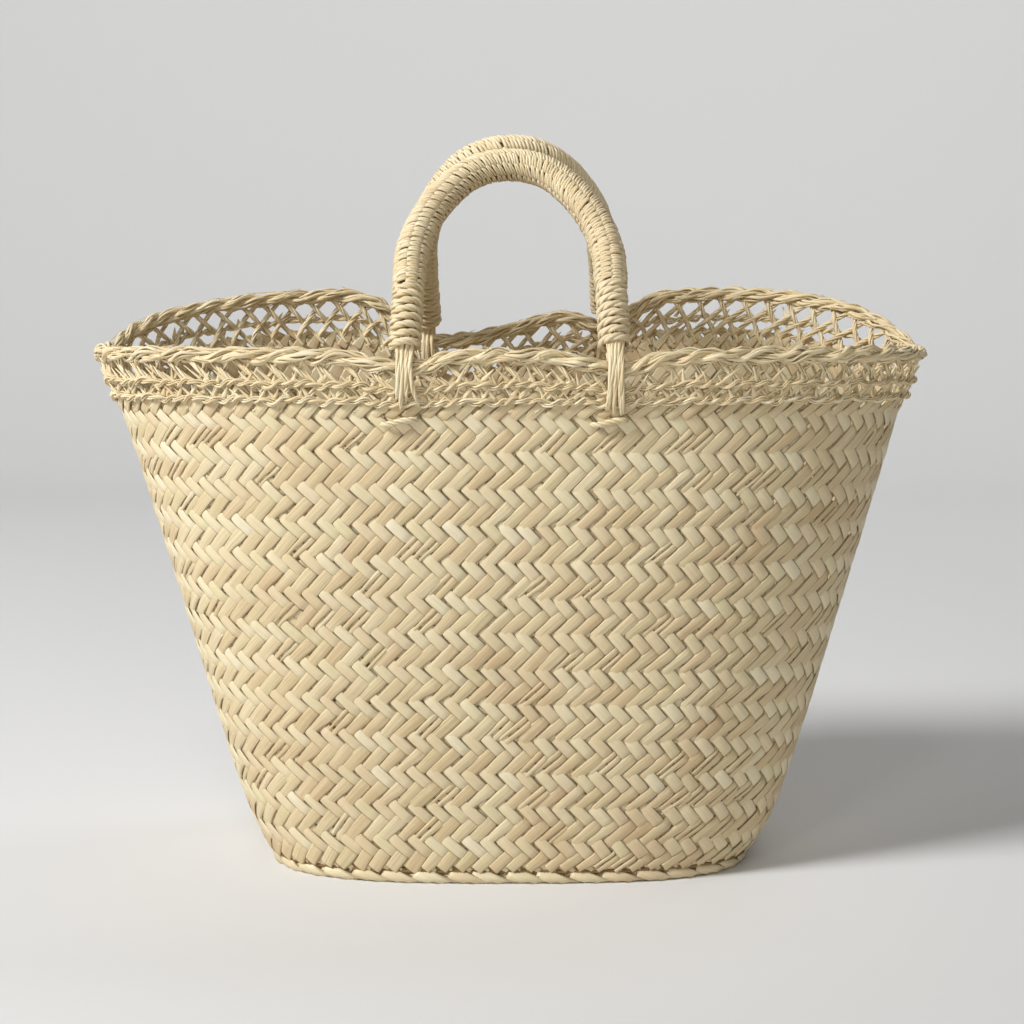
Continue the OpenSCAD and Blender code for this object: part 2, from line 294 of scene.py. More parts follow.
def lay_strips(bundle, surface, x, y, out, half, thick, crown, seed, slot=0):
    """Flat strips along lines x, y on a surface, raised by out. All sizes are in millimetres."""
    dx, dy = np.gradient(x, axis=1), np.gradient(y, axis=1)
    size = np.hypot(dx, dy)
    steps = np.hypot(np.diff(x), np.diff(y))
    along = np.concatenate([np.zeros((len(x), 1)), np.cumsum(steps, 1)], 1)
    across = half[..., None] * STRIP_ACROSS
    px = x[..., None] - (dy / size)[..., None] * across
    py = y[..., None] + (dx / size)[..., None] * across
    above = crown * (1 - STRIP_ACROSS**2) + thick / 2 * STRIP_ABOVE
    rings = surface(px, py, out[..., None] + above)
    bundle.add(rings, along[..., None], across, seed[:, None, None], slot=slot)


def sweep_cord(bundle, path, a, b, wide, high, seed, sides=6, closed=False, slot=0, taper=None):
    """Cords along paths, n by m by 3, with half sizes wide along a and high along b."""
    around = np.arange(sides) * TURN / sides
    scale = np.ones(path.shape[1]) if taper is None else taper
    w = (np.broadcast_to(wide, path.shape[:2]) * scale)[..., None, None]
    h = (np.broadcast_to(high, path.shape[:2]) * scale)[..., None, None]
    c, s = np.cos(around)[:, None], np.sin(around)[:, None]
    rings = path[:, :, None] + w * c * a[:, :, None] + h * s * b[:, :, None]
    along = lengths_along(path)[..., None]
    bundle.add(rings, along, w[..., 0] * around, seed[:, None, None], closed, slot)


def frames_along(path, outward, closed=False):
    """Two directions square to each path: one near outward, one beside it."""
    if closed:
        tangent = np.roll(path, -1, 1) - np.roll(path, 1, 1)
    else:
        tangent = np.gradient(path, axis=1)
    tangent = unit(tangent)
    beside = unit(np.cross(tangent, outward))
    return np.cross(beside, tangent), beside


def lengths_along(path):
    """The distance of each point from the start of its path."""
    steps = np.linalg.norm(np.diff(path, axis=1), axis=-1)
    return np.concatenate([np.zeros((len(path), 1)), np.cumsum(steps, 1)], 1)


def twist_path(path, a, b, orbit, turns, phase):
    """A line that winds round each path, and the directions out from the path and round it."""
    angle = turns * TURN + phase
    c, s = np.cos(angle)[..., None], np.sin(angle)[..., None]
    away, round_it = c * a + s * b, -s * a + c * b
    return path + np.asarray(orbit)[..., None] * away, away, round_it


def whole_turns(length, turn_length, steps):
    """The turns at each step of a closed rope, which has a whole number of them."""
    return np.arange(steps) / steps * round(length / turn_length)


def twist_rope(bundle, path, a, b, orbit, fibre, count, turns, rng, sides=6, closed=False,
               flat=0.8, taper=None):
    """Fibres twisted round each path. Fibres are flat slivers, so they are wider than high."""
    orbits = np.broadcast_to(orbit, path.shape[:2]) * (1 if taper is None else taper)
    for i in range(count):
        start = rng.uniform(0, 0.5, (len(path), 1)) + i * TURN / count
        line, away, round_it = twist_path(path, a, b, orbits, turns, start)
        seed = leaf_lots(rng, len(path))
        size = fibre * rng.uniform(0.85, 1.15, (len(path), 1))
        sweep_cord(bundle, line, round_it, away, size, size * flat, seed, sides, closed,
                   taper=taper)


def wall_ring(lap, h, depth):
    """A closed path round the wall, and two directions square to it."""
    t = lap.angle(np.arange(ROPE_STEPS) * lap.length / ROPE_STEPS)
    path = wall_point(h, depth, t)[None]
    return path, *frames_along(path, unit(path * LEVEL), closed=True)


# ---------------------------------------------------------------- materials


def linear(code):
    """The linear colour of an sRGB hex code."""
    parts = [int(code[i : i + 2], 16) / 255 for i in (1, 3, 5)]
    return tuple(p / 12.92 if p <= 0.04045 else ((p + 0.055) / 1.055) ** 2.4 for p in parts)


def add_node(tree, kind, inputs=None, **settings):
    """Adds a node. Each input is a value, or another node's output to link from."""
    node = tree.nodes.new(kind)
    for name, value in settings.items():
        setattr(node, name, value)
    for name, value in (inputs or {}).items():
        if isinstance(value, bpy.types.NodeSocket):
            tree.links.new(value, node.inputs[name])
        else:
            node.inputs[name].default_value = value
    return node


# How long a rib is in millimetres, and how far apart the noise of two strips lies.
RIB_LENGTH, LOT_STEP = 45, 3.7
LEAF_IOR = 1.45
# Grooves between ribs get brown grain and painted shade, weathered patches are tan, and strip edges
# get painted shade and dirt.
RIB_GRAIN_AND_SHADE, WEATHERED, EDGE_DIRT_AND_SHADE = "#A27C47", "#B8946C", "#8E6B3C"


def palm_finish(name, colours, roughness, rib_mm, rib_shade, rib_height, stain, edge_shade=0.0):
    """A dried palm finish: a tone for each strip, ribs along it with painted shade in their
    grooves, and weathering in patches.
    """
    material = bpy.data.materials.new(name)
    material.use_nodes = True
    tree = material.node_tree
    tree.nodes.clear()
    leaf = add_node(tree, "ShaderNodeAttribute", attribute_name="leaf")
    axes = add_node(tree, "ShaderNodeSeparateXYZ", {0: leaf.outputs["Vector"]})
    lot = add_node(tree, "ShaderNodeTexWhiteNoise", {"W": axes.outputs["Z"]}, noise_dimensions="1D")
    tone = add_node(tree, "ShaderNodeValToRGB", {0: lot.outputs["Value"]})
    stops = tone.color_ramp.elements
    while len(stops) < len(colours):
        stops.new(0.5)
    for i, code in enumerate(colours):
        stops[i].position = i / (len(colours) - 1)
        stops[i].color = (*linear(code), 1)
    # Ribs run along the strip: close together across it and long along it.
    stretch = add_node(tree, "ShaderNodeVectorMath",
                       {0: leaf.outputs["Vector"], 1: (1 / RIB_LENGTH, 1 / rib_mm, LOT_STEP)},
                       operation="MULTIPLY")
    ribs = add_node(tree, "ShaderNodeTexNoise",
                    {"Vector": stretch.outputs[0], "Scale": 1.0, "Detail": 3.0, "Roughness": 0.65})
    # Weathering comes in patches of 50 to 90 mm, with small flecks in them.
    place = add_node(tree, "ShaderNodeTexCoord")
    patches = add_node(tree, "ShaderNodeTexNoise",
                       {"Vector": place.outputs["Object"], "Scale": 15.0, "Detail": 6.0,
                        "Roughness": 0.66})
    # The ribs' grooves are mixed towards brown: partly the leaf's grain, partly painted shade where
    # the grooves would be shaded.
    layers = [(ribs, 0.3, 0.68, rib_shade, 0.0, RIB_GRAIN_AND_SHADE),
              (patches, 0.5, 0.72, 0.0, stain, WEATHERED)]
    if edge_shade:
        # The last part of a millimetre along each edge is darkened: painted shade where the strips
        # meet, and some dirt.
        across = add_node(tree, "ShaderNodeMath", {0: axes.outputs["Y"]}, operation="ABSOLUTE")
        layers.append((across, 3.0, 3.7, 0.0, edge_shade, EDGE_DIRT_AND_SHADE))
    colour = tone.outputs[0]
    for source, low, high, at_low, at_high, code in layers:
        share = add_node(tree, "ShaderNodeMapRange",
                         {"Value": source.outputs[0], "From Min": low, "From Max": high,
                          "To Min": at_low, "To Max": at_high})
        mixed = add_node(tree, "ShaderNodeMix",
                         {0: share.outputs[0], 6: colour, 7: (*linear(code), 1)}, data_type="RGBA")
        colour = mixed.outputs[2]
    bump = add_node(tree, "ShaderNodeBump",
                    {"Height": ribs.outputs[0], "Strength": 0.7, "Distance": rib_height * MM})
    shader = add_node(tree, "ShaderNodeBsdfPrincipled",
                      {"Base Color": colour, "Roughness": roughness, "IOR": LEAF_IOR,
                       "Normal": bump.outputs[0]})
    add_node(tree, "ShaderNodeOutputMaterial", {0: shader.outputs[0]})
    return material


FINISHES = {}


def finish(make):
    """The finish that a function makes, made once and shared."""
    if make not in FINISHES:
        FINISHES[make] = make()
    return FINISHES[make]


def split_palm_leaf_smooth():
    # The face of dried palm leaf, split and plaited damp: waxy, nearly plain, a soft sheen.
    tones = ("#ECE1C3", "#E6D9B5", "#E2D3AE", "#DECBA6", "#E8DCBA", "#DFD3AA", "#E4D3B1", "#DCC8A2")
    return palm_finish("split_palm_leaf_smooth", tones, 0.44, 1.6, 0.16, 0.25, 0.4, 0.3)


def split_palm_leaf_ribbed():
    # The back of the leaf: its veins stand out as fine ribs, with painted shade in their grooves,
    # so it is rougher and a little darker.
    tones = ("#EADEBC", "#E1D1AA", "#DCC9A2", "#E4D5B0", "#DACCA3", "#DFCAA6", "#D8C49C", "#E6DAB6")
    return palm_finish("split_palm_leaf_ribbed", tones, 0.6, 0.9, 0.4, 0.45, 0.5, 0.35)


def twisted_palm_strand():
    # Narrow leaf slivers rolled into strands by hand: stringy, with light ridges and creases
    # darkened by painted shade.
    tones = ("#F5EACB", "#EFE0B9", "#E8D5AB", "#F2E5C2", "#DFC89C", "#F4E8C8")
    return palm_finish("twisted_palm_strand", tones, 0.6, 0.7, 0.25, 0.4, 0.25)


def palm_sewing_cord():
    # Two-ply palm cord pulled tight by a needle: darker from handling.
    tones = ("#C9B285", "#BBA276", "#D2BD92")
    return palm_finish("palm_sewing_cord", tones, 0.7, 0.5, 0.3, 0.3, 0.4)


def wrapped_palm_cord():
    # Soft palm cord wound and plaited round a rope: pale, matt, with creases darkened by painted
    # shade.
    tones = ("#F3E8CA", "#E8D9B4", "#EDDFBE", "#E1D0A8", "#F2E6C6", "#DECBA2")
    return palm_finish("wrapped_palm_cord", tones, 0.65, 0.8, 0.25, 0.4, 0.35)


def rope_core_and_painted_shade():
    # The coarse rope inside the handles, seen only through gaps in its cover. Its tones are dark so
    # that the gaps show painted shade; the same finish draws the painted shade line in the hem's
    # groove.
    tones = ("#7E6740", "#6E5834", "#8C744B")
    return palm_finish("rope_core_and_painted_shade", tones, 0.8, 1.2, 0.4, 0.6, 0.5)


def matt_paper_sweep():
    # Seamless studio paper: matt, one pale grey, with a faint tooth.
    colours = bpy.context.scene.basket_colours
    material = bpy.data.materials.new("matt_paper_sweep")
    material.use_nodes = True
    tree = material.node_tree
    shader = tree.nodes["Principled BSDF"]
    shader.inputs["Base Color"].default_value = (*colours.paper, 1)
    shader.inputs["Roughness"].default_value = 0.9
    place = add_node(tree, "ShaderNodeTexCoord")
    tooth = add_node(tree, "ShaderNodeTexNoise",
                     {"Vector": place.outputs["Object"], "Scale": 900.0, "Detail": 2.0})
    bump = add_node(tree, "ShaderNodeBump",
                    {"Height": tooth.outputs[0], "Strength": 0.1, "Distance": 0.1 * MM})
    tree.links.new(bump.outputs[0], shader.inputs["Normal"])
    return material


# ---------------------------------------------------------------- settings


class BasketSizes(bpy.types.PropertyGroup):
    strip_pitch: FloatProperty(
        name="Strip pitch", description="Distance between leaf strips along a course (mm)",
        default=10.2, min=6, max=16,
    )
    strip_half: FloatProperty(
        name="Strip half width", description="Half the width of a leaf strip (mm)",
        default=3.66, min=2, max=5,
    )
    strip_thick: FloatProperty(
        name="Strip thickness", description="Thickness of a leaf strip (mm)",
        default=0.75, min=0.3, max=1.2,
    )
    layer: FloatProperty(
        name="Layer height", description="How far outer floats stand off the wall's middle (mm)",
        default=0.7, min=0.4, max=1.2,
    )
    unevenness: FloatProperty(
        name="Unevenness", description="How irregular the hand plaiting is",
        default=1.0, min=0, max=2, subtype="FACTOR",
    )
    rim_turns: IntProperty(
        name="Rim turns", description="Full turns of the rim's three plies round the basket",
        default=24, min=12, max=40,
    )
    cord_pitch: FloatProperty(
        name="Whipping pitch", description="Distance between the cord turns on a handle's leg (mm)",
        default=4.9, min=3, max=7,
    )
    stroke_pitch: FloatProperty(
        name="Plait pitch", description="Distance between the strokes of a handle's plait (mm)",
        default=3.9, min=3, max=7,
    )


class BasketColours(bpy.types.PropertyGroup):
    paper: FloatVectorProperty(
        name="Paper", description="Colour of the studio paper",
        default=linear("#E2E2E2"), subtype="COLOR", min=0, max=1,
    )
    daylight: FloatVectorProperty(
        name="Daylight", description="Colour of the light all round",
        default=(1.0, 0.99, 0.965), subtype="COLOR", min=0, max=1,
    )


class BasketStudio(bpy.types.PropertyGroup):
    lens: FloatProperty(
        name="Lens", description="Focal length of the camera", default=70.6, min=20, max=200,
        unit="CAMERA",
    )
    key_power: FloatProperty(
        name="Key light", description="Power of the large soft light at the left (W)",
        default=117, min=0, max=2000,
    )
    front_power: FloatProperty(
        name="Front light", description="Power of the broad, low light in front (W)",
        default=18, min=0, max=500,
    )
    rim_power: FloatProperty(
        name="Rim light", description="Power of the soft spot on the rim and the inside (W)",
        default=20, min=0, max=200,
    )
    paper_power: FloatProperty(
        name="Paper light", description="Power of the soft light on the paper behind (W)",
        default=21, min=0, max=200,
    )
    ambient: FloatProperty(
        name="Light all round", description="Strength of the even light from every side",
        default=0.07, min=0, max=2,
    )


# ---------------------------------------------------------------- the operators


class BASKET_OT_stage(bpy.types.Operator):
    """Sets up the paper sweep, the lights and the camera"""

    bl_idname = "basket.stage"
    bl_label = "Stage"

    def execute(self, context):
        scene, studio = context.scene, context.scene.basket_studio
        width, near, far, bend, top, steps = 6.0, -3.0, 1.7, 0.9, 3.2, 24
        line = [(near, 0.0), (far, 0.0)]
        for i in range(1, steps + 1):
            angle = math.pi / 2 * i / steps
            line.append((far + bend * math.sin(angle), bend * (1 - math.cos(angle))))
        line.append((far + bend, top))
        points = [(x, y, z) for y, z in line for x in (-width / 2, width / 2)]
        faces = [(2 * i, 2 * i + 1, 2 * i + 3, 2 * i + 2) for i in range(len(line) - 1)]
        mesh = bpy.data.meshes.new("paper_sweep")
        mesh.from_pydata(points, [], faces)
        for face in mesh.polygons:
            face.use_smooth = True
        mesh.materials.append(finish(matt_paper_sweep))
        sweep = bpy.data.objects.new("paper_sweep", mesh)
        scene.collection.objects.link(sweep)
        sweep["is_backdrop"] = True

        world = bpy.data.worlds.new("studio")
        world.use_nodes = True
        background = world.node_tree.nodes["Background"]
        background.inputs["Color"].default_value = (*scene.basket_colours.daylight, 1)
        background.inputs["Strength"].default_value = studio.ambient
        scene.world = world

        azimuth, elevation = math.radians(KEY_AZIMUTH), math.radians(KEY_ELEVATION)
        towards = Vector((-math.sin(azimuth) * math.cos(elevation),
                          -math.cos(azimuth) * math.cos(elevation), math.sin(elevation)))
        middle = Vector((0, 0, 0.16))
        # Name, kind, size across or softness, power, colour, place and target.
        lights = (
            ("key_light", "AREA", 1.02, studio.key_power, WHITE,
             middle + towards * KEY_DISTANCE, middle),
            ("front_light", "AREA", 2.0, studio.front_power, CREAM,
             Vector((0.2, -2.9, 0.95)), middle),
            ("paper_light", "AREA", 1.5, studio.paper_power, WHITE,
             Vector((1.3, 0.9, 2.4)), Vector((1.0, 2.5, 0.9))),
            ("rim_light", "SPOT", 0.25, studio.rim_power, WHITE,
             Vector((-0.2, -0.95, 1.45)), Vector((0, 0.1, 0.3))),
        )
        for name, kind, size, power, colour, place, target in lights:
            light = bpy.data.lights.new(name, kind)
            light.energy, light.color = power, colour
            if kind == "AREA":
                light.shape, light.size = "DISK", size
            else:
                light.spot_size, light.spot_blend = math.radians(RIM_CONE), 1.0
                light.shadow_soft_size = size
            lamp = bpy.data.objects.new(name, light)
            lamp.location = place
            lamp.rotation_euler = (target - place).to_track_quat("-Z", "Y").to_euler()
            lamp.visible_camera = False
            scene.collection.objects.link(lamp)

        lens = bpy.data.cameras.new("camera")
        lens.lens, lens.sensor_width = studio.lens, 36.0
        lens.clip_start, lens.clip_end = 0.05, 30.0
        camera = bpy.data.objects.new("camera", lens)
        camera.location = CAMERA_AT
        camera.rotation_euler = Euler((math.radians(90 - CAMERA_TILT), 0, 0))
        scene.collection.objects.link(camera)
        scene.camera = camera
        scene.view_settings.view_transform = "Standard"
        return {"FINISHED"}


def smooth_step(x, start, end):
    w = np.clip((x - start) / (end - start), 0, 1)
    return w * w * (3 - 2 * w)


# The share of the rising strips that are split in two, and the sine of their slope.
SPLIT_SHARE, DIAGONAL = 0.14, 0.707


def plait_course(bundle, surface, length, height, sizes, rng, ends=None, on_hem=False):
    """Plaits a 2/2 twill course: strips fall in its upper half, and rise in its lower half."""
    count = 2 * round(length / sizes.strip_pitch / 2) if ends is None else ends
    pitch, rise = length / count, height / 2
    k = np.arange(count)[:, None]

    def stray(spread):
        return sizes.unevenness * strays(rng, spread, count)

    # Along a strip t runs in half courses, and is 0 in the middle of the part that shows.

    # Falling strips: over the upper half, under the lower half.
    t = np.array([-0.66, -0.55, -0.42, -0.22, 0.05, 0.27, 0.39,
                  0.49, 0.6, 0.72, 0.95, 1.2, 1.42, 1.6])
    shift = stray(0.045)
    lean = 1 + stray(0.05)
    x = (k + shift + t * lean) * pitch
    y = (1.5 - t + stray(0.03)) * rise
    level = sizes.layer * (1 - 2 * smooth_step(t, 0.36, 0.62))
    level = level - 1.5 * (1 - smooth_step(t, -0.66, -0.3)) + 0.7 * smooth_step(t, 1.38, 1.62)
    bulge = 0.22 * np.clip(1 - (t / 0.5) ** 2, 0, 1)
    out = level + bulge + stray(0.1)
    half = sizes.strip_half * (1 + stray(0.035)) * np.ones_like(t)
    half = half * (1 - 0.18 * (1 - smooth_step(t, -0.72, -0.5)))
    seed = leaf_lots(rng, count)
    lay_strips(bundle, surface, x, y, out, half, sizes.strip_thick, 0.3, seed, 0)

    # Rising strips: over the lower half, under the upper half. A few are split along their ribs.
    t = np.array([-0.9, -0.82, -0.7, -0.5, -0.2, 0.1, 0.3,
                  0.41, 0.51, 0.61, 0.75, 1.0, 1.3, 1.55])
    if on_hem:
        # On the hem the strips are cut blunt, so that a groove shows under them.
        t = np.where(t < -0.3, -0.36 + 0.1 * (t + 0.5), t)
    shift = 0.5 + stray(0.045)
    lean = 1 + stray(0.05)
    x = (k + shift + t * lean) * pitch
    y = (0.5 + t + stray(0.03)) * rise
    level = sizes.layer * (1 - 2 * smooth_step(t, 0.38, 0.64))
    level = level - 1.2 * (1 - smooth_step(t, -0.92, -0.68)) + 0.7 * smooth_step(t, 1.3, 1.55)
    if on_hem:
        level = level + 0.5 * (1 - smooth_step(t, -0.5, 0))
    out = level + 0.12 * np.clip(1 - (t / 0.5) ** 2, 0, 1) + stray(0.1)
    half = sizes.strip_half * (1 + stray(0.05)) * np.ones_like(t)
    narrow = 0.13 * (1 - smooth_step(t, -0.5, 0.35)) * (1 + 0.75 * strays(rng, 1, count))
    narrow = np.clip(narrow, 0, 0.34)
    half = half * (1 - narrow)
    x = x - narrow * sizes.strip_half * 0.7
    y = y + narrow * sizes.strip_half * 0.7
    seed = leaf_lots(rng, count)
    split = rng.uniform(0, 1, count) < SPLIT_SHARE * sizes.unevenness
    whole = ~split
    lay_strips(bundle, surface, x[whole], y[whole], out[whole], half[whole],
               sizes.strip_thick, 0.2, seed[whole], 1)
    if split.any():
        share = rng.uniform(0.35, 0.65, (split.sum(), 1))
        gap = 0.12 + 0.2 * (1 - smooth_step(t, -0.4, 0.5))
        for part, sign in ((share, 1), (1 - share, -1)):
            part_half = (half[split] * part - gap).clip(0.5)
            move = sign * (half[split] - part_half)
            lay_strips(bundle, surface, x[split] - move * DIAGONAL, y[split] + move * DIAGONAL,
                       out[split] + rng.normal(0, 0.12, (split.sum(), 1)), part_half,
                       sizes.strip_thick, 0.2, seed[split] + sign, 1)


class BASKET_OT_wall(bpy.types.Operator):
    """Plaits the wall's courses from split palm leaf"""

    bl_idname = "basket.wall"
    bl_label = "Plaited courses"

    def execute(self, context):
        sizes = context.scene.basket_sizes
        for j in range(1, COURSES + 1):
            low = HEM_H + (j - 1) * COURSE_H
            lap = Lap(lambda t: wall_point(low + COURSE_H / 2, WALL_T / 2, t))

            def surface(x, y, out):
                return wall_point(low + y, WALL_T / 2 - out, lap.angle(x))

            bundle = Bundle()
            rng = np.random.default_rng(100 + j)
            plait_course(bundle, surface, lap.length, COURSE_H, sizes, rng, on_hem=j == 1)
            finishes = [finish(split_palm_leaf_smooth), finish(split_palm_leaf_ribbed)]
            piece = bundle.make(f"plaited_course_{j:02d}", finishes)
            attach(piece, "basket")
            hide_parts(f"wall_course_{j:02d}")
        return {"FINISHED"}


class BASKET_OT_seams(bpy.types.Operator):
    """Runs the sewing cords that join the courses"""

    bl_idname = "basket.seams"
    bl_label = "Sewing cords"

    def execute(self, context):
        bundle = Bundle()
        rng = np.random.default_rng(200)
        for j in range(1, COURSES):
            h = HEM_H + j * COURSE_H
            lap = Lap(lambda t: wall_point(h, SEAM_DEPTH, t))
            path, a, b = wall_ring(lap, h, SEAM_DEPTH)
            turns = whole_turns(lap.length, SEAM_TURN_L, ROPE_STEPS)[None]
            twist_rope(bundle, path, a, b, 0.42, 0.42, 2, turns, rng, 5, True, flat=0.9)
        piece = bundle.make("seam_cords", [finish(palm_sewing_cord)])
        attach(piece, "basket")
        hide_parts(*[f"seam_cord_{j:02d}" for j in range(1, COURSES)])
        return {"FINISHED"}


class BASKET_OT_base(bpy.types.Operator):
    """Plaits the base and rolls its hem"""

    bl_idname = "basket.base"
    bl_label = "Base and hem"

    def execute(self, context):
        sizes = context.scene.basket_sizes
        finishes = [finish(split_palm_leaf_smooth), finish(split_palm_leaf_ribbed)]
        rng = np.random.default_rng(300)
        edge_reach, edge_side = BASE_REACH - BASE_INSET, BASE_SIDE - BASE_INSET
        band = edge_side / 3.5
        bundle = Bundle()
        for ring in range(3):
            inner = (ring + 1) * band

            def outline(t, depth):
                x, y = oval(edge_reach - depth, edge_side - depth, BASE_SQUARENESS, t)
                return np.stack([x, y], -1)

            lap = Lap(lambda t: outline(t, inner - band / 2))

            def surface(x, y, out):
                place = outline(lap.angle(x), inner - y)
                return np.concatenate([place, (1.6 - out * 0.75)[..., None]], -1)

            plait_course(bundle, surface, lap.length, band, sizes, rng)

        length = 2 * (edge_reach - 3 * band) + 12
        count = round(length / sizes.strip_pitch)

        def middle(x, y, out):
            return np.stack([x - length / 2, y - band / 2, 1.5 - out * 0.7], -1)

        plait_course(bundle, middle, length, band, sizes, rng, ends=count)
        piece = bundle.make("base_plait", finishes)
        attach(piece, "basket")
        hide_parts("base_panel")

        mid = HEM_H / 2
        lap = Lap(lambda t: wall_point(mid, 0.5, t))
        count = round(lap.length / HEM_PITCH)
        pitch = lap.length / count

        def hem(x, y, out):
            # The hem is a roll: y runs round it from its top to its underside.
            angle = y / mid
            t = lap.angle(x)
            r = ROLL_R + out
            h = ROLL_H + r * np.sin(angle)
            depth = ROLL_DEPTH - r * np.cos(angle)
            px, py = oval(reach(mid) - depth, side(mid) - depth, squareness(mid), t)
            return np.stack([px, py, np.maximum(h, 0.05)], -1)

        bundle = Bundle()
        steps = np.linspace(0, 1, 12)
        k = np.arange(count)[:, None] + strays(rng, 0.06, count)
        x = k * pitch + steps * HEM_STRIP_L
        y = (1.0 - 3.0 * steps) * mid * np.ones_like(k)
        out = 0.5 * np.sin(math.pi * steps) - 0.3 * smooth_step(steps, 0.8, 1)
        out = out + strays(rng, 0.12, count)
        half = (HEM_STRIP_HALF + strays(rng, 0.25, count)) * np.ones_like(steps)
        lay_strips(bundle, hem, x, y, out, half, 0.8, 0.8, leaf_lots(rng, count), 0)
        x, out = x - pitch / 2 + 6, out - 1.1
        lay_strips(bundle, hem, x, y, out, half + 1.5, 0.8, 0.1, leaf_lots(rng, count), 1)
        # A dark rope in the groove between the hem and the first course is painted shade: it draws
        # the groove's shadow as a thin dark line.
        wave = 0.3 * np.sin(count * TURN * np.arange(ROPE_STEPS) / ROPE_STEPS)
        path, a, b = wall_ring(lap, GROOVE_H + wave, GROOVE_DEPTH)
        sweep_cord(bundle, path, a, b, 0.8, 1.3, leaf_lots(rng, 1), 6, True, slot=2)
        piece = bundle.make("rolled_hem", [*finishes, finish(rope_core_and_painted_shade)])
        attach(piece, "basket")
        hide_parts("base_hem")
        return {"FINISHED"}


